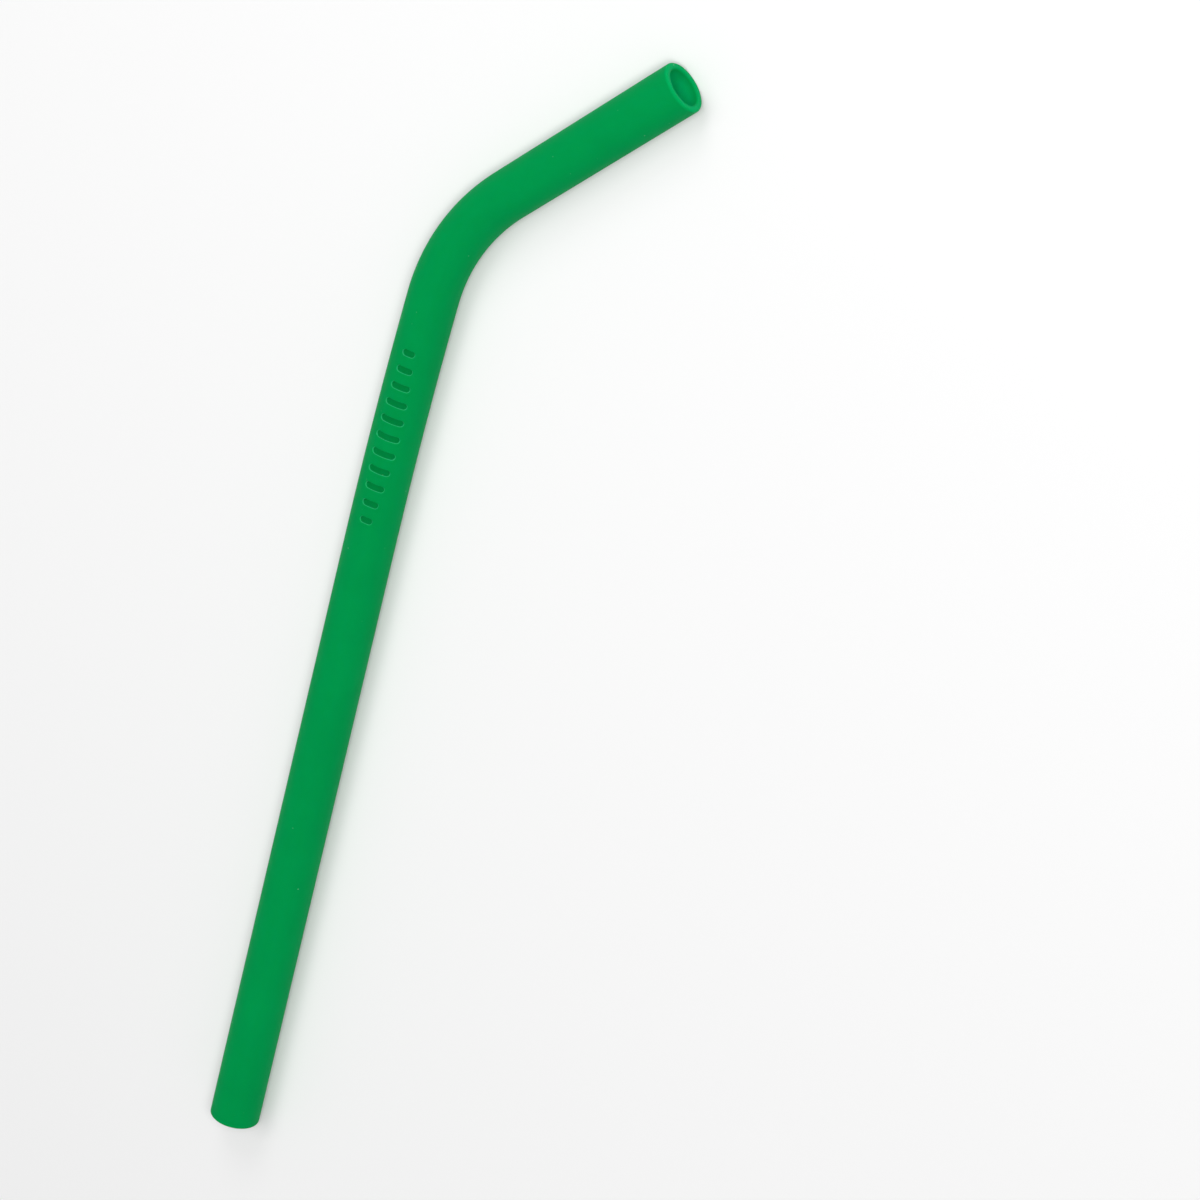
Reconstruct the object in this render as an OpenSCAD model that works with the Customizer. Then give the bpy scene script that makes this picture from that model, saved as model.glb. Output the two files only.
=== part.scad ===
// Silicone drinking straw: one moulded tube with a long leg, a bend and a short leg.
// It lies on its side: the plane of the bend is level, and the long leg runs along +Y.

/* [Tube] */
// Outside diameter of the tube
outer_d = 10; // [8:0.1:14]
// Thickness of the wall
wall = 1.2; // [0.9:0.05:2.2]
// How much the wall thickens outwards towards the mouth of the short leg
mouth_flare = 0.2; // [0:0.05:0.8]
// Rounding of the lips at both ends, inside and outside
lip_r = 0.5; // [0.1:0.05:0.65]

/* [Legs and bend] */
// Length of the straight part of the long leg, from its foot
long_leg = 132; // [60:1:200]
// Length of the slow curve between the straight part and the bend
slow_length = 52; // [40:1:90]
// Angle that the slow curve turns through
slow_angle = 2.4; // [0.5:0.1:6]
// Radius of the bend, to the middle of the tube
bend_r = 41; // [16:1:80]
// Angle that the bend turns through
bend_angle = 38.6; // [10:0.1:80]
// Length of the short leg, from the bend to its mouth
short_leg = 43; // [20:1:90]

/* [Grip marks] */
// Number of marks pressed into the top of the long leg
mark_count = 11; // [1:1:13]
// Distance from one mark to the next
mark_pitch = 3.6; // [2.4:0.1:4]
// Width of a mark, along the tube
mark_w = 1.3; // [0.6:0.1:1.8]
// Length of the longest mark, across the tube
mark_long = 5; // [2.6:0.1:6]
// Length of the shortest marks, at the ends of the row
mark_short = 2.6; // [2.2:0.1:5]
// Depth of the marks
mark_depth = 0.45; // [0.1:0.05:0.6]
// Distance from the bend back to the middle of the nearest mark
mark_back = 10.6; // [3:0.1:30]

/* [Hidden] */
$fn = 96;

outer_r = outer_d / 2;
mouth_r = outer_r + mouth_flare;
bore_r = outer_r - wall;
// The lips keep a narrow flat between their inner and outer rounding
lip_flat = 0.1;
lip = min(lip_r, (wall - lip_flat) / 2);

// Both curves run this far into their neighbours. The slow curve's wall lies one inset inside
// the surfaces of the straight part, and the bend's wall two, so that the lengths of tube
// grow together into one solid
overlap = 0.5;
inset = 0.02;

// The tube's middle line, seen from above: it starts at the foot and heads along +Y
slow_r = slow_length / (slow_angle * PI / 180);
turned = slow_angle + bend_angle;
slow_end = [slow_r * (1 - cos(slow_angle)), long_leg + slow_r * sin(slow_angle)];
bend_centre = slow_end + bend_r * [cos(slow_angle), -sin(slow_angle)];
bend_end = bend_centre - bend_r * [cos(turned), -sin(turned)];
heading = [sin(turned), cos(turned)];
mouth = bend_end + short_leg * heading;

// The furthest points along X and along Y, both on the rounded lip of the mouth
lip_middle = mouth - lip * heading;
far_x = lip_middle[0] + (mouth_r - lip) * heading[1] + lip;
far_y = lip_middle[1] + (mouth_r - lip) * heading[0] + lip;
middle_x = (far_x - outer_r) / 2;
middle_y = far_y / 2;

// Half of a section through a lip: a strip of wall whose end has both corners rounded
module lip_section(end_r) {
    intersection() {
        union() {
            translate([bore_r + lip, lip]) circle(r = lip);
            translate([end_r - lip, lip]) circle(r = lip);
            translate([bore_r + lip, 0]) square([end_r - bore_r - 2 * lip, lip]);
        }
        square([end_r, lip]);
    }
}

// A straight length of tube stands on its lip at z = 0, and its top meets a curve
module leg(length, end_r) {
    rotate_extrude() lip_section(end_r);
    translate([0, 0, lip])
        difference() {
            cylinder(h = length - lip, r1 = end_r, r2 = outer_r);
            cylinder(h = length - lip, r = bore_r);
        }
}

// A curved length of tube starts at the origin, where it heads along +Y, and turns towards +X
module curve(radius, angle, slack) {
    spare = overlap / radius * 180 / PI;
    translate([radius, 0, 0])
        rotate([0, 0, 180 - angle - spare])
            rotate_extrude(angle = angle + 2 * spare)
                translate([radius, 0])
                    difference() {
                        circle(r = outer_r - slack);
                        circle(r = bore_r + slack);
                    }
}

module tube() {
    rotate([-90, 0, 0]) leg(long_leg, outer_r);
    translate([0, long_leg, 0]) curve(slow_r, slow_angle, inset);
    translate([slow_end[0], slow_end[1], 0])
        rotate([0, 0, -slow_angle])
            curve(bend_r, bend_angle, 2 * inset);
    translate([mouth[0], mouth[1], 0])
        rotate([0, 0, -turned])
            rotate([90, 0, 0])
                leg(short_leg, mouth_r);
}

// A bar with round ends, across the leg
module mark_outline(length) {
    square([length - mark_w, mark_w], center = true);
    for (side = [-1, 1])
        translate([side * (length - mark_w) / 2, 0]) circle(d = mark_w);
}

// The bars are longest in the middle of the row and shorten towards its ends
function mark_length(i) =
    let (half_row = max((mark_count - 1) / 2, 1))
    let (off = (i - (mark_count - 1) / 2) / half_row)
    mark_short + (mark_long - mark_short) * cos(90 * off);

// The row is straight, and it lies along the middle line at its own middle. The bars end at a
// thinner rod inside the tube, so that their floors follow the wall
module grip_marks() {
    row = (mark_count - 1) * mark_pitch;
    along = slow_length - mark_back - row / 2;
    turn = max(along, 0) / slow_length * slow_angle;
    translate([slow_r * (1 - cos(turn)), long_leg + min(along, 0) + slow_r * sin(turn), 0])
        rotate([0, 0, -turn])
            difference() {
                for (i = [0 : mark_count - 1])
                    translate([0, row / 2 - i * mark_pitch, 0])
                        linear_extrude(height = outer_d)
                            mark_outline(mark_length(i));
                rotate([90, 0, 0])
                    cylinder(h = row + 2 * mark_w, r = outer_r - mark_depth, center = true);
            }
}

module straw() {
    color([0, 0.58, 0.3])
        translate([-middle_x, -middle_y, mouth_r])
            difference() {
                tube();
                grip_marks();
            }
}

straw();
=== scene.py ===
# %% [markdown]
# # A bent silicone drinking straw
#
# The straw is one moulded tube: a long leg, a smooth bend, a short leg and two rounded lips.
# This lesson gives it its looks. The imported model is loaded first, because it fixes where the
# straw lies and how large it is, and everything made here has to stay in that place.

import math

import bmesh
import bpy
import numpy as np
from mathutils import Matrix, Vector


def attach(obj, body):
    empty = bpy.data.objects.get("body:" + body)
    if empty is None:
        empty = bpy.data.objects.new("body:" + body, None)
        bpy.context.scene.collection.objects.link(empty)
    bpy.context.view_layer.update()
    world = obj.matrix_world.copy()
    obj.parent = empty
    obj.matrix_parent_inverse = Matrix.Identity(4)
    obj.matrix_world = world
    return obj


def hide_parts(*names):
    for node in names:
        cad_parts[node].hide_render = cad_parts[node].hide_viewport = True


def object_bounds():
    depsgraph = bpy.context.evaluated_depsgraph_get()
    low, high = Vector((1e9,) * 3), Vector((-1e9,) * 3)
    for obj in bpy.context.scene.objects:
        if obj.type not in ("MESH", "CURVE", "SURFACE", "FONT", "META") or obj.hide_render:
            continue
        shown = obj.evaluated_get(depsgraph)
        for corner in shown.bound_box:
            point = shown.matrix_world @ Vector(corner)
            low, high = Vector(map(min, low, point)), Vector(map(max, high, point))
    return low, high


MM = 0.001

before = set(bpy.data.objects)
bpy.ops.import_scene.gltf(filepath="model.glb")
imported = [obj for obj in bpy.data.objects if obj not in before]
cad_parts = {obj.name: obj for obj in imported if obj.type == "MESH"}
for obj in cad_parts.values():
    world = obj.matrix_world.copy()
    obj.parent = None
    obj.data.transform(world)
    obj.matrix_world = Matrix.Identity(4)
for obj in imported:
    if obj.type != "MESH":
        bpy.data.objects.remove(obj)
box_low, box_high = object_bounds()
print("packed straw, in mm:", [round(size / MM, 1) for size in box_high - box_low])

# %% [markdown]
# ## The sizes
#
# A tube is told by few sizes: its diameters, how far each leg runs, and how tightly it bends.
# They are the real straw's sizes in metres, because a scene in real units lets the lights, the
# softness of the shadow and the depth of the silicone act as they would on a table. They could
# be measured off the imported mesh, but named values are easier to read.

# %% Sizes of the straw
OUTER_RADIUS = 5.0 * MM
BORE_RADIUS = 3.8 * MM
MOUTH_RADIUS = 5.2 * MM
LONG_LEG = 132.0 * MM
SLOW_CURVE = 52.0 * MM
SLOW_ANGLE = math.radians(2.4)
BEND_RADIUS = 41.0 * MM
BEND_ANGLE = math.radians(38.6)
SHORT_LEG = 43.0 * MM

bend_length = BEND_RADIUS * BEND_ANGLE
straw_length = LONG_LEG + SLOW_CURVE + bend_length + SHORT_LEG
print("length along the middle line, in mm:", round(straw_length / MM, 1))

# %% [markdown]
# ## The middle line
#
# A real straw like this leaves its mould with a bend that starts slowly, so the long leg already
# bows a little before the tight part. The middle line is built as four stretches, each of which
# keeps one curvature: straight, slowly curved, tightly curved, straight. A bezier curve could be
# drawn by eye, but stretches of constant curvature have exact lengths and angles.

# %% The four stretches of the middle line
STRETCHES = (
    (LONG_LEG, 0.0),
    (SLOW_CURVE, SLOW_ANGLE / SLOW_CURVE),
    (bend_length, 1 / BEND_RADIUS),
    (SHORT_LEG, 0.0),
)


def arc_step(x, y, heading, curvature, step):
    """Moves along an arc and turns from +Y towards +X."""
    if curvature == 0:
        return x + step * math.sin(heading), y + step * math.cos(heading), heading
    turned = heading + curvature * step
    x += (math.cos(heading) - math.cos(turned)) / curvature
    y += (math.sin(turned) - math.sin(heading)) / curvature
    return x, y, turned


def middle_line(distance):
    """Place and heading of the middle line, at a distance from the foot at (0, 0)."""
    x = y = heading = 0.0
    left = distance
    for length, curvature in STRETCHES:
        x, y, heading = arc_step(x, y, heading, curvature, min(length, left))
        left -= length
        if left <= 0:
            break
    return x, y, heading


mouth_x, mouth_y, mouth_heading = middle_line(straw_length)
print("mouth, in mm:", round(mouth_x / MM, 2), round(mouth_y / MM, 2))
print("the straw turns by", round(math.degrees(mouth_heading), 1), "degrees")

# %% [markdown]
# ## The pressed bars
#
# Short bars are pressed into the top of the long leg, below the bend, and give wet fingers
# something to hold. Each bar has round ends, and the row tapers at both ends. They could be
# painted on with a bump texture, but a real dent catches a real edge of light and shows in the
# outline from the side, so the skin of the tube is sunk where a bar is.

# %% Sizes and places of the bars
BAR_COUNT = 11
BAR_PITCH = 3.6 * MM
BAR_WIDTH = 1.3 * MM
BAR_LONG = 5.0 * MM
BAR_SHORT = 2.6 * MM
BAR_DEPTH = 0.45 * MM
BAR_BACK = 10.6 * MM

row_length = (BAR_COUNT - 1) * BAR_PITCH
row_middle = LONG_LEG + SLOW_CURVE - BAR_BACK - row_length / 2
row_x, row_y, row_heading = middle_line(row_middle)
bars = []
for i in range(BAR_COUNT):
    off = 2 * i / (BAR_COUNT - 1) - 1
    length = BAR_SHORT + (BAR_LONG - BAR_SHORT) * math.cos(math.radians(90 * off))
    bars.append((off * row_length / 2, length))
print("bar lengths, in mm:", [round(length / MM, 1) for _, length in bars])

# %% [markdown]
# ## How deep the skin is sunk
#
# A bar's outline is every point at one distance from a short line across the leg, which gives
# the round ends for nothing. Inside it the skin is sunk, and over a narrow border the depth
# fades out, as the edge of a moulded dent is never razor sharp.

# %% The share of a bar's depth at a point
EDGE_SOFTNESS = 0.2 * MM


def smooth(value):
    """Eases a value in and out between 0 and 1."""
    value = np.clip(value, 0, 1)
    return value * value * (3 - 2 * value)


def bar_share(x, y):
    """1 inside a bar, 0 outside and in between at its edge; x and y are seen from above."""
    along = (x - row_x) * math.sin(row_heading) + (y - row_y) * math.cos(row_heading)
    across = (x - row_x) * math.cos(row_heading) - (y - row_y) * math.sin(row_heading)
    share = np.zeros_like(x)
    for place, length in bars:
        beyond = np.maximum(np.abs(across) - (length - BAR_WIDTH) / 2, 0)
        distance = np.hypot(beyond, along - place) - BAR_WIDTH / 2
        share = np.maximum(share, smooth(0.5 - distance / EDGE_SOFTNESS))
    return share


print("depth shares at a bar's middle and between two bars:",
      bar_share(np.array([row_x]), np.array([row_y]))[0],
      bar_share(np.array([row_x]), np.array([row_y + BAR_PITCH / 2]))[0])

# %% [markdown]
# ## Where the rings go along the outside
#
# The skin is made of rings of points, and every ring costs triangles. A straight stretch needs
# few rings, a bend needs one every millimetre, and the edge of a bar needs several within a
# fifth of a millimetre. Even rings fine enough for the bars would make the mesh many times
# heavier, so the rings are crowded only where the skin turns.

# %% Distances of the rings along the outside
EDGE_ZONE = 0.18 * MM
EDGE_RINGS = 7
FLOOR_RINGS = 8
BAR_MARGIN = 2.0 * MM


def spread(start, end, step):
    """Even distances from start to end, about one step apart."""
    count = max(int(round(abs(end - start) / step)), 1)
    return list(np.linspace(start, end, count + 1))


def bar_rings(middle):
    """Rings across one bar: crowded at its two edges, wider over its floor."""
    half = BAR_WIDTH / 2
    edge = np.linspace(-EDGE_ZONE, EDGE_ZONE, EDGE_RINGS)
    floor_part = np.linspace(EDGE_ZONE - half, half - EDGE_ZONE, FLOOR_RINGS)[1:-1]
    return list(middle + np.concatenate([edge - half, floor_part, edge + half]))


row_start = row_middle - row_length / 2 - BAR_MARGIN
row_end = row_middle + row_length / 2 + BAR_MARGIN
row_rings = [row_start]
for place, _ in bars:
    row_rings.append(row_middle + place - BAR_PITCH / 2)
    row_rings += bar_rings(row_middle + place)
row_rings += [row_middle + row_length / 2 + BAR_PITCH / 2, row_end]
print("rings along the row of bars:", len(row_rings))

# %% [markdown]
# ## The outline of the wall
#
# The wall of the tube is drawn once, as a closed outline of distance and radius: along the
# outside from the foot to the mouth, round the lip, back through the bore and round the other
# lip. Sweeping that outline gives a wall with a true thickness. A plain cylinder would look
# solid at its ends, and no light could soak through the lips.

# %% Points round a lip
LIP_RADIUS = 0.5 * MM
LIP_POINTS = 8


def lip_points(end_distance, inward, outside_radius):
    """From the outer side to the bore; inward is +1 at the foot and -1 at the mouth."""
    corners = ((outside_radius - LIP_RADIUS, 0, 90), (BORE_RADIUS + LIP_RADIUS, 90, 180))
    points_round = []
    for middle, first, last in corners:
        for angle in np.radians(np.linspace(first, last, LIP_POINTS)):
            depth = LIP_RADIUS * (1 - math.sin(angle))
            radius = middle + LIP_RADIUS * math.cos(angle)
            points_round.append((end_distance + inward * depth, radius))
    return points_round


mouth_lip = lip_points(straw_length, -1, MOUTH_RADIUS)
foot_lip = lip_points(0.0, 1, OUTER_RADIUS)[::-1]
print("wall at the mouth, in mm:", round((MOUTH_RADIUS - BORE_RADIUS) / MM, 2))

# %% [markdown]
# ## Joining the parts of the outline
#
# The short leg widens evenly towards the mouth, so the radius of the outside depends on the
# distance. Each point of the outline also gets a share of light that soaks in from behind: none
# outside, a little on the lips, which are lit from both sides, and all of it a few millimetres
# down the bore. The silicone's colour uses it later.

# %% The closed outline
STRAIGHT_STEP = 3.0 * MM
BEND_STEP = 1.0 * MM
BORE_STEP = 2.5 * MM
FULLY_DEEP = 4.0 * MM
LIP_SHARE = 0.3


def outer_radius(distance):
    """Even along the long leg and the bend, and widening along the short leg."""
    along = (distance - (straw_length - SHORT_LEG)) / (SHORT_LEG - LIP_RADIUS)
    return OUTER_RADIUS + (MOUTH_RADIUS - OUTER_RADIUS) * min(max(along, 0), 1)


outside = spread(LIP_RADIUS, row_start, STRAIGHT_STEP)[1:-1]
outside += row_rings
outside += spread(row_end, straw_length - LIP_RADIUS, BEND_STEP)[1:-1]
bore = spread(straw_length - LIP_RADIUS, LIP_RADIUS, BORE_STEP)[1:-1]

outline = [(distance, outer_radius(distance)) for distance in outside]
outline += mouth_lip
outline += [(distance, BORE_RADIUS) for distance in bore]
outline += foot_lip
bore_depth = np.minimum(bore, straw_length - np.array(bore))
lip_shares = LIP_SHARE * np.sin(np.linspace(0, math.pi, len(mouth_lip)))
deep_shares = np.concatenate([
    np.zeros(len(outside)), lip_shares, np.minimum(bore_depth / FULLY_DEEP, 1), lip_shares,
])
print("points in the outline:", len(outline))

# %% [markdown]
# ## Sweeping the outline round the middle line
#
# Every point of the outline becomes a ring of points round the middle line. The points are
# closer together over the top, where the bars end, than below. A curve object with a bevel
# would also make a tube, but it can't have lips, a bore and dents at once.

# %% Rings of points
TOP_HALF_ANGLE = math.radians(36)
TOP_POINTS = 72
REST_POINTS = 80

angles = np.concatenate([
    np.linspace(-TOP_HALF_ANGLE, TOP_HALF_ANGLE, TOP_POINTS, endpoint=False),
    np.linspace(TOP_HALF_ANGLE, 2 * math.pi - TOP_HALF_ANGLE, REST_POINTS, endpoint=False),
])
around = len(angles)


def ring(distance, radius, is_outside):
    """Points of one ring and how far each is in a bar; at angle 0 a point is straight up."""
    x, y, heading = middle_line(distance)
    right_x, right_y = math.cos(heading), -math.sin(heading)
    side = radius * np.sin(angles)
    pressed = np.zeros(around)
    if is_outside:
        on_top = np.cos(angles) > 0
        pressed = bar_share(x + side * right_x, y + side * right_y) * on_top
    sunk_radius = radius - BAR_DEPTH * pressed
    side, up = sunk_radius * np.sin(angles), sunk_radius * np.cos(angles)
    return np.column_stack([x + side * right_x, y + side * right_y, up, pressed])


rings = np.array([ring(d, r, share == 0) for (d, r), share in zip(outline, deep_shares)])
points = rings[:, :, :3].reshape(-1, 3)
pressed_share = rings[:, :, 3].reshape(-1)
print("points in the skin:", len(points), "of which in a bar:", int((pressed_share > 0).sum()))

# %% [markdown]
# ## Closing the skin with faces
#
# Neighbouring rings are joined by four-sided faces. The last ring of the outline meets the
# first, and so does the last point of each ring, so the skin closes on itself like a swim ring
# and has no stray edges. A face looks towards whoever sees its corners run anticlockwise, so
# they are named in the order that makes every face look out of the silicone.

# %% Faces between the rings
faces = []
for i in range(len(outline)):
    following = (i + 1) % len(outline)
    for j in range(around):
        beside = (j + 1) % around
        faces.append((
            i * around + j,
            i * around + beside,
            following * around + beside,
            following * around + j,
        ))
print("triangles in the tube:", 2 * len(faces))

# %% [markdown]
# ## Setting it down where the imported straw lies
#
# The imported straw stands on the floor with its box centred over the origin. The new tube is
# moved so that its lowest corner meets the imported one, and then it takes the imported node's
# place. Measuring the shift from the two boxes keeps both in step if a size changes.

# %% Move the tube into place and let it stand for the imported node
points = points + (np.array(box_low) - points.min(axis=0))
mesh = bpy.data.meshes.new("straw_tube")
mesh.from_pydata(points.tolist(), [], faces)
mesh.update()
mesh.polygons.foreach_set("use_smooth", [True] * len(mesh.polygons))
straw = bpy.data.objects.new("straw_tube", mesh)
bpy.context.scene.collection.objects.link(straw)
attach(straw, "root")
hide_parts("straw")
print("highest corner, in mm:", (points.max(axis=0) / MM).round(2).tolist())
print("packed one, in mm:", [round(c / MM, 2) for c in box_high])

# %% [markdown]
# ## Is the skin closed?
#
# A skin that is closed and looks outwards holds a volume above zero. A skin that is inside out
# looks the same in most renders, but its volume comes out below zero, and other programs may
# not draw it at all. So the volume and the open edges are measured, and not judged by eye.

# %% Measure the skin
skin = bmesh.new()
skin.from_mesh(mesh)
volume = skin.calc_volume(signed=True)
open_edges = sum(not edge.is_manifold for edge in skin.edges)
skin.free()
print("silicone, in cubic mm:", round(volume / MM**3), "with open edges:", open_edges)

# %% [markdown]
# ## Coordinates that follow the tube
#
# Fine lines on a moulded tube run along it, even through the bend. A texture that is fixed to
# the room would cut across the bend instead. So each point keeps where it is round the tube, as
# a place on a circle, and how far along it is. A circle has no seam, which an unwrapped map
# would have. The share that is 1 deep in the bore, and the one that is 1 in a bar, are kept too.

# %% Store the places on the mesh
tube_places = np.empty((len(outline), around, 3), dtype=np.float32)
for i, (distance, radius) in enumerate(outline):
    tube_places[i, :, 0] = np.sin(angles) * radius
    tube_places[i, :, 1] = np.cos(angles) * radius
    tube_places[i, :, 2] = distance
along_tube = mesh.attributes.new("around_along", "FLOAT_VECTOR", "POINT")
along_tube.data.foreach_set("vector", tube_places.reshape(-1))

for name, values in (("deep", np.repeat(deep_shares, around)), ("pressed", pressed_share)):
    stored = mesh.attributes.new(name, "FLOAT", "POINT")
    stored.data.foreach_set("value", values.astype(np.float32))
print("points with a place along the tube:", len(along_tube.data))

# %% [markdown]
# ## The silicone
#
# Food silicone is coloured all through, slightly milky, and neither shiny nor chalky. Light
# goes in a little way and comes out beside where it went in, which softens the dents and the
# lips. A plain green paint would look hard, so the light is passed below the surface, green
# furthest and red least. The faint sheen is tinted green, as this straw shows no white shine.

# %% Start the material
material = bpy.data.materials.new("green_silicone")
material.use_nodes = True
nodes, links = material.node_tree.nodes, material.node_tree.links
silicone = nodes["Principled BSDF"]
silicone.inputs["Subsurface Weight"].default_value = 1.0
silicone.inputs["Subsurface Radius"].default_value = (0.2, 1.0, 0.5)
silicone.inputs["IOR"].default_value = 1.41
silicone.inputs["Specular IOR Level"].default_value = 0.05
silicone.inputs["Specular Tint"].default_value = (0.1, 1.0, 0.45, 1)
mesh.materials.append(material)
print("material:", material.name)

# %% [markdown]
# ## Three small helpers for nodes
#
# A finish is built from nodes, and three steps come again and again: making a node with its
# sockets filled in, turning a texture's range of values into a useful one, and working one value
# out of two. A helper for each keeps the next cells short.

# %% Helpers for the material's nodes
def new_node(kind, **sockets):
    """Makes a node; a socket called Noise Scale is written Noise_Scale."""
    made = nodes.new(kind)
    for name, value in sockets.items():
        made.inputs[name.replace("_", " ")].default_value = value
    return made


def remap(value, low, high, to_low, to_high):
    """Turns values between low and high into values between to_low and to_high."""
    made = new_node("ShaderNodeMapRange", From_Min=low, From_Max=high,
                    To_Min=to_low, To_Max=to_high)
    links.new(value, made.inputs["Value"])
    return made.outputs["Result"]


def combine(operation, first, second):
    """Works one value out of two, such as their product or the larger one."""
    made = new_node("ShaderNodeMath")
    made.operation = operation
    links.new(first, made.inputs[0])
    links.new(second, made.inputs[1])
    return made.outputs["Value"]


place_in_straw = new_node("ShaderNodeTexCoord").outputs["Object"]
print("nodes so far:", len(nodes))

# %% [markdown]
# ## Cloudy pigment
#
# The pigment is stirred into the silicone before moulding, and it never spreads quite evenly:
# over a centimetre or so the green is a touch lighter or darker. A wide soft noise does this.
# It has to stay very weak, or the straw looks dirty. A noise seldom leaves the range from 0.3 to
# 0.7, so that range is what gets remapped.

# %% Clouds in the pigment
CLOUDS_PER_METRE = 90.0
CLOUD_STRENGTH = 0.03
NOISE_LOW, NOISE_HIGH = 0.3, 0.7

clouds = new_node("ShaderNodeTexNoise", Scale=CLOUDS_PER_METRE, Detail=3.0, Roughness=0.5)
links.new(place_in_straw, clouds.inputs["Vector"])
cloud_value = remap(clouds.outputs["Fac"], NOISE_LOW, NOISE_HIGH,
                    1 - CLOUD_STRENGTH, 1 + CLOUD_STRENGTH)
print("clouds about", round(1 / CLOUDS_PER_METRE / MM, 1), "mm wide")

# %% [markdown]
# ## Flow lines
#
# As the tube is formed, very fine lines run along it. They are too faint to see one by one, but
# they make the sheen a little uneven. A noise is stretched about two hundred times along the
# tube's own coordinates, so the lines follow the bend.

# %% Lines along the tube
LINES_PER_METRE = 2600
LINE_CHANGES_PER_METRE = 12

stretch = new_node("ShaderNodeMapping",
                   Scale=(LINES_PER_METRE, LINES_PER_METRE, LINE_CHANGES_PER_METRE))
tube_place = new_node("ShaderNodeAttribute")
tube_place.attribute_name = "around_along"
links.new(tube_place.outputs["Vector"], stretch.inputs["Vector"])
flow_lines = new_node("ShaderNodeTexNoise", Scale=1.0, Detail=2.0, Roughness=0.5)
links.new(stretch.outputs["Vector"], flow_lines.inputs["Vector"])
print("lines about", round(1 / LINES_PER_METRE / MM, 2), "mm apart")

# %% [markdown]
# ## Dust
#
# Silicone draws dust, and a few pale specks are on any straw that has lain on a table. Small
# dots sit in the middle of random cells, and a second noise leaves most cells empty. Real specks
# could be modelled, but at a few hundredths of a millimetre high nobody would see their shape.

# %% Scattered specks
CELLS_PER_METRE = 420.0
SPECK_SIZE = 0.09
SPECK_STRENGTH = 0.35
CHOICES_PER_METRE = 700.0
CHOSEN_FROM, CHOSEN_FULLY = 0.58, 0.66

cells = new_node("ShaderNodeTexVoronoi", Scale=CELLS_PER_METRE, Randomness=1.0)
links.new(place_in_straw, cells.inputs["Vector"])
specks = remap(cells.outputs["Distance"], 0.0, SPECK_SIZE, 1.0, 0.0)
chosen = new_node("ShaderNodeTexNoise", Scale=CHOICES_PER_METRE, Detail=0.0)
links.new(place_in_straw, chosen.inputs["Vector"])
in_some_cells = remap(chosen.outputs["Fac"], CHOSEN_FROM, CHOSEN_FULLY, 0.0, SPECK_STRENGTH)
dust = combine("MULTIPLY", specks, in_some_cells)
print("dust cells about", round(1 / CELLS_PER_METRE / MM, 1), "mm wide")

# %% [markdown]
# ## The green, outside and in the bore
#
# The bore of a real straw is lighter than its depth would suggest, because light soaks through
# the thin wall from all sides. The renderer follows only part of that, so deep in the bore the
# silicone gets a lighter green and lets light run further. Near the mouth the lamps reach the
# bore themselves, so there the green stays as it is outside.

# %% Mix the colour
GREEN = (0.0005, 0.315, 0.076)
GREEN_DEEP = (0.001, 0.62, 0.22)
SOAK_OUTSIDE = 0.25 * MM
SOAK_DEEP = 3.0 * MM
DUST_COLOUR = (0.45, 0.68, 0.52)


def mix_colours(factor, first, second):
    """A mix node; first and second are colours or other nodes' outputs."""
    made = new_node("ShaderNodeMix")
    made.data_type = "RGBA"
    for name, colour in (("A", first), ("B", second)):
        if isinstance(colour, tuple):
            made.inputs[name].default_value = (*colour, 1)
        else:
            links.new(colour, made.inputs[name])
    links.new(factor, made.inputs["Factor"])
    return made.outputs["Result"]


def stored_share(name):
    """A share that was stored on the mesh."""
    made = new_node("ShaderNodeAttribute")
    made.attribute_name = name
    return made.outputs["Fac"]


deep = stored_share("deep")
two_greens = mix_colours(deep, GREEN, GREEN_DEEP)
soak = remap(deep, 0, 1, SOAK_OUTSIDE, SOAK_DEEP)
links.new(soak, silicone.inputs["Subsurface Scale"])
print("light soaks in by about, in mm:", SOAK_OUTSIDE / MM, "to", SOAK_DEEP / MM)

# %% [markdown]
# ## Painted shade and highlight on the bars
#
# The stamp that presses the bars is polished, so their floors are smoother than the blasted skin.
# Their floors are painted a darker green, as painted shade in the dents, and their rims a paler
# green, as a painted highlight where the edges catch the light. The share that was stored on the
# mesh is 1 on a floor and falls to 0 across a rim, so a curve that peaks between the two picks
# out the rims.

# %% Painted shade on the floors and a painted highlight on the rims
# painted shade: this darker green on the bar floors stands in for shade in the dents
GREEN_PAINTED_SHADE = (0.0003, 0.235, 0.054)
# painted highlight: this paler green on the bar rims stands in for light catching their edges
GREEN_PAINTED_HIGHLIGHT = (0.03, 0.46, 0.19)
FLOOR_FROM, FLOOR_FULLY = 0.35, 0.75
RIM_PEAK, RIM_END = 0.3, 0.6

pressed = stored_share("pressed")
# the bar floors are darkened, as painted shade
floor_shade_mask = remap(pressed, FLOOR_FROM, FLOOR_FULLY, 0, 1)
with_painted_shade = mix_colours(floor_shade_mask, two_greens, GREEN_PAINTED_SHADE)
# the bar rims are lightened, as a painted highlight
rim_in = remap(pressed, 0, RIM_PEAK, 0, 1)
rim_out = remap(pressed, RIM_PEAK, RIM_END, 1, 0)
with_painted_highlight = mix_colours(combine("MULTIPLY", rim_in, rim_out), with_painted_shade, GREEN_PAINTED_HIGHLIGHT)
print("greens of floor and rim:", GREEN_PAINTED_SHADE, GREEN_PAINTED_HIGHLIGHT)

# %% [markdown]
# ## Laying cloud and dust over the greens
#
# The clouds in the pigment only change how light the green is, so they drive the value of a
# Hue Saturation node. The dust lies on top of everything, so it is mixed in last.

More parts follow.
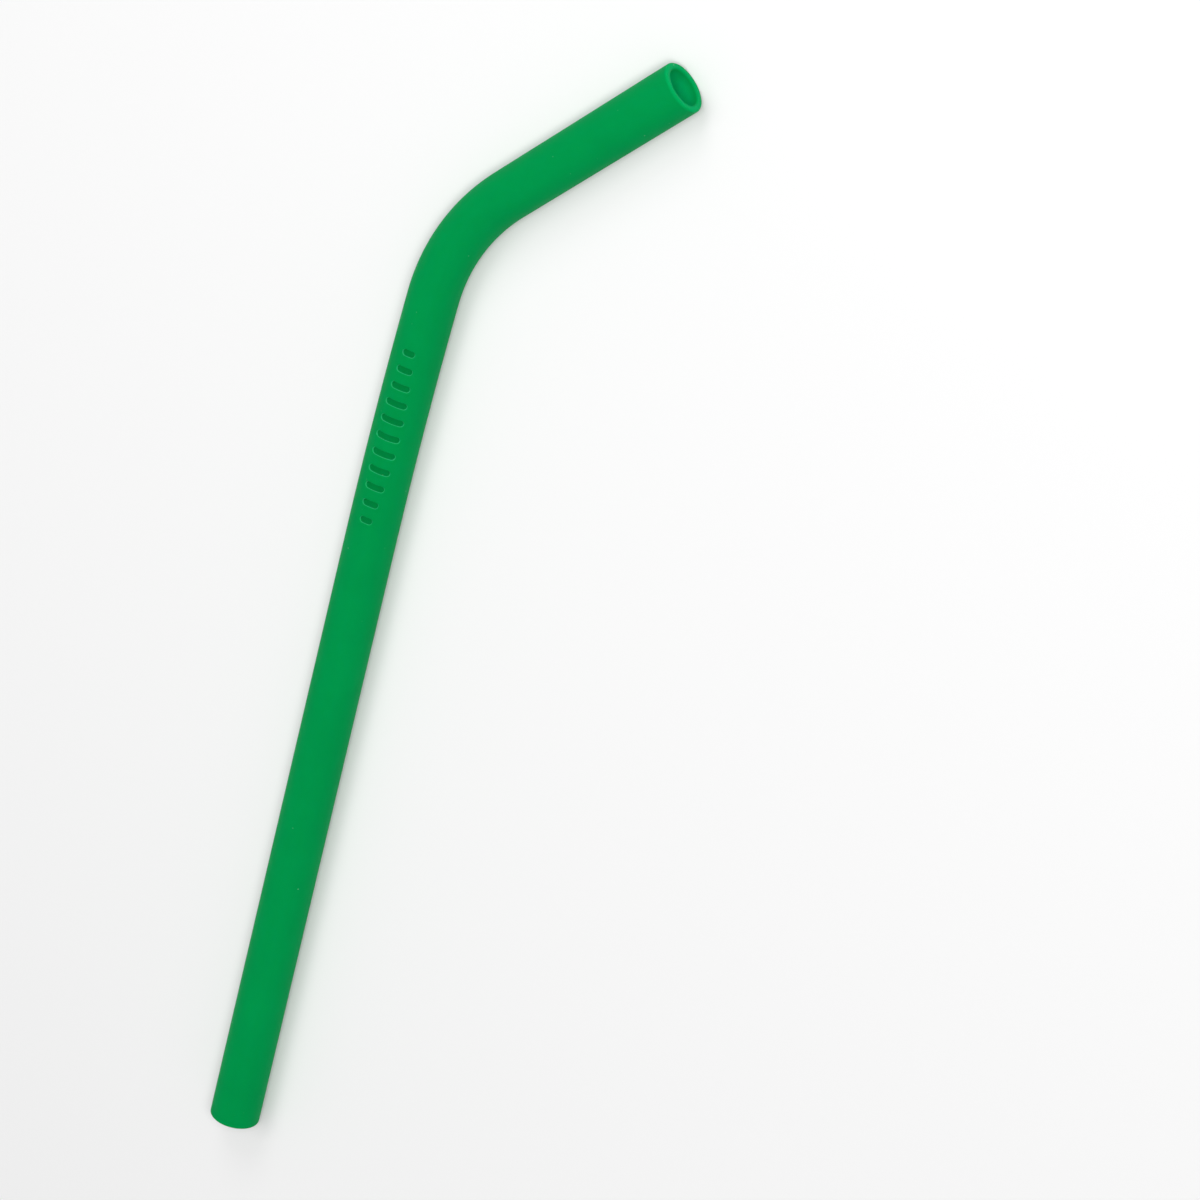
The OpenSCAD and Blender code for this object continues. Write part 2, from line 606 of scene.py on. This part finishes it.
# %% Finish the colour
tint = new_node("ShaderNodeHueSaturation")
links.new(with_painted_highlight, tint.inputs["Color"])
links.new(cloud_value, tint.inputs["Value"])
dusted = mix_colours(dust, tint.outputs["Color"], DUST_COLOUR)
links.new(dusted, silicone.inputs["Base Color"])
print("clouds change the green by, in percent:", round(100 * CLOUD_STRENGTH))

# %% [markdown]
# ## Roughness and fine relief
#
# The mould is finely blasted, so the straw is matt, and under a lens its skin has a grain of a
# fifth of a millimetre. The flow lines change the roughness a little, and two weak bumps, one
# from the lines and one from the grain, break up the sheen. Stronger bumps would look like skin.

# %% Roughness and two bumps
GRAINS_PER_METRE = 5200.0
SMOOTHEST, ROUGHEST = 0.55, 0.65
POLISHED_SHARE = 0.6

blasted = remap(flow_lines.outputs["Fac"], NOISE_LOW, NOISE_HIGH, SMOOTHEST, ROUGHEST)
polished = remap(pressed, 0, 1, 1, POLISHED_SHARE)
links.new(combine("MULTIPLY", blasted, polished), silicone.inputs["Roughness"])

line_relief = new_node("ShaderNodeBump", Strength=0.05, Distance=0.05 * MM)
links.new(flow_lines.outputs["Fac"], line_relief.inputs["Height"])
grain = new_node("ShaderNodeTexNoise", Scale=GRAINS_PER_METRE, Detail=2.0, Roughness=0.6)
links.new(place_in_straw, grain.inputs["Vector"])
grain_relief = new_node("ShaderNodeBump", Strength=0.12, Distance=0.03 * MM)
links.new(grain.outputs["Fac"], grain_relief.inputs["Height"])
links.new(line_relief.outputs["Normal"], grain_relief.inputs["Normal"])
links.new(grain_relief.outputs["Normal"], silicone.inputs["Normal"])
print("nodes in the silicone:", len(nodes))

# %% [markdown]
# ## The table
#
# The straw lies on plain white paper, as in a catalogue picture. One large flat sheet is
# enough, because the camera looks down and never sees its end.

# %% Make the floor
FLOOR_HALF = 3.0

floor_mesh = bpy.data.meshes.new("floor")
floor_corners = [(x * FLOOR_HALF, y * FLOOR_HALF, 0)
                 for x, y in ((-1, -1), (1, -1), (1, 1), (-1, 1))]
floor_mesh.from_pydata(floor_corners, [], [(0, 1, 2, 3)])
floor = bpy.data.objects.new("floor", floor_mesh)
bpy.context.scene.collection.objects.link(floor)
print("floor:", 2 * FLOOR_HALF, "m square")

# %% [markdown]
# ## White paper that stays quiet
#
# The paper has to look white to the camera, yet a large white sheet throws so much light back
# up that the straw's sides would glow. Light Path tells what kind of ray meets the paper: the
# camera and mirrored or passed rays see the pale grey, and light on its way to the straw meets a
# darker one. The shadow stays, because the pale paper is still lit by the lamps.

# %% The paper's material
PAPER_SEEN = (0.91, 0.91, 0.91)
PAPER_BOUNCE = (0.65, 0.65, 0.65)

paper = bpy.data.materials.new("white_paper")
paper.use_nodes = True
nodes, links = paper.node_tree.nodes, paper.node_tree.links
sheet_shader = nodes["Principled BSDF"]
sheet_shader.inputs["Roughness"].default_value = 0.9
sheet_shader.inputs["Specular IOR Level"].default_value = 0.0
ray = new_node("ShaderNodeLightPath")
seen = ray.outputs["Is Camera Ray"]
for kind in ("Is Glossy Ray", "Is Transmission Ray"):
    seen = combine("MAXIMUM", seen, ray.outputs[kind])
links.new(mix_colours(seen, PAPER_BOUNCE, PAPER_SEEN), sheet_shader.inputs["Base Color"])
floor_mesh.materials.append(paper)
print("paper is seen at", PAPER_SEEN[0], "and throws back", PAPER_BOUNCE[0])

# %% [markdown]
# ## A dim even room
#
# Light from everywhere fills the shadows and keeps the picture bright. Too much of it makes a
# round tube look flat, so the room has a quarter of full white, and the panels give the rest.

# %% The room's light
ROOM_STRENGTH = 0.25

world = bpy.data.worlds.new("even_room")
world.use_nodes = True
room = world.node_tree.nodes["Background"]
room.inputs["Color"].default_value = (1, 1, 1, 1)
room.inputs["Strength"].default_value = ROOM_STRENGTH
bpy.context.scene.world = world
print("room strength:", ROOM_STRENGTH)

# %% [markdown]
# ## Three soft panels
#
# A straw on white paper should throw a pale narrow shadow to one side, and show no shine. A wide
# panel high up to the left throws that shadow. A second one stands near the camera, where its own
# shadow is hidden behind the straw, and it makes both edges of the tube a little darker than
# its middle. A weak low one looks along the long leg from the mouth's side: it lights one wall
# of each bar and leaves the other dark. A small lamp would draw hard dark shadows.

# %% Place the panels
def panel(name, size, power, where):
    """A square soft light that faces the straw."""
    data = bpy.data.lights.new(name, "AREA")
    data.shape = "SQUARE"
    data.size = size
    data.energy = power
    made = bpy.data.objects.new(name, data)
    made.location = where
    made.rotation_euler = (-where).to_track_quat("-Z", "Y").to_euler()
    bpy.context.scene.collection.objects.link(made)
    print(name, size, "m wide,", round(where.length, 2), "m away")


panel("shadow_panel", size=0.8, power=5.2, where=Vector((-0.33, 0.42, 1.45)))
panel("front_panel", size=0.6, power=15.7, where=Vector((0.5, 0.56, 1.42)))
panel("low_panel", size=0.6, power=3.6, where=Vector((-0.24, 1.28, 0.96)))

# %% [markdown]
# ## Where the camera looks from
#
# The photograph looks down on the straw from over its mouth, from more than a metre away
# through a long lens, so the two ends look almost equally thick. A camera is told by where it
# stands, what it looks at, how it is rolled and how long its lens is. The roll is large, because
# the picture was turned until the straw stood upright in it.

# %% Directions of the view
CAMERA_PLACE = Vector((0.3553, 0.53151, 1.0711))
CAMERA_AIM = Vector((0.02726, 0.01269, 0.0))
CAMERA_ROLL = math.radians(-129.668)

view_line = (CAMERA_AIM - CAMERA_PLACE).normalized()
level_right = view_line.cross(Vector((0, 0, 1))).normalized()
level_up = level_right.cross(view_line)
right = level_right * math.cos(CAMERA_ROLL) + level_up * math.sin(CAMERA_ROLL)
up = right.cross(view_line)
print("camera", round((CAMERA_AIM - CAMERA_PLACE).length, 3), "m from what it looks at")

# %% [markdown]
# ## Making the camera
#
# The camera's matrix holds its right, its up and its backward direction in columns, and its
# place in the last one. Setting it whole avoids working out three turning angles. The view
# transform is Standard, so that a colour comes out as it was written.

# %% Set the camera
LENS = 193.4
SENSOR = 36

camera_data = bpy.data.cameras.new("camera")
camera_data.lens = LENS
camera_data.sensor_width = SENSOR
camera_data.clip_start = 0.05
camera_data.clip_end = 20
camera = bpy.data.objects.new("camera", camera_data)
bpy.context.scene.collection.objects.link(camera)
camera_rows = [(right[i], up[i], -view_line[i], CAMERA_PLACE[i]) for i in range(3)]
camera.matrix_world = Matrix((*camera_rows, (0, 0, 0, 1)))
bpy.context.scene.camera = camera
bpy.context.scene.view_settings.view_transform = "Standard"
print("angle of view:", round(math.degrees(camera_data.angle), 1), "degrees")
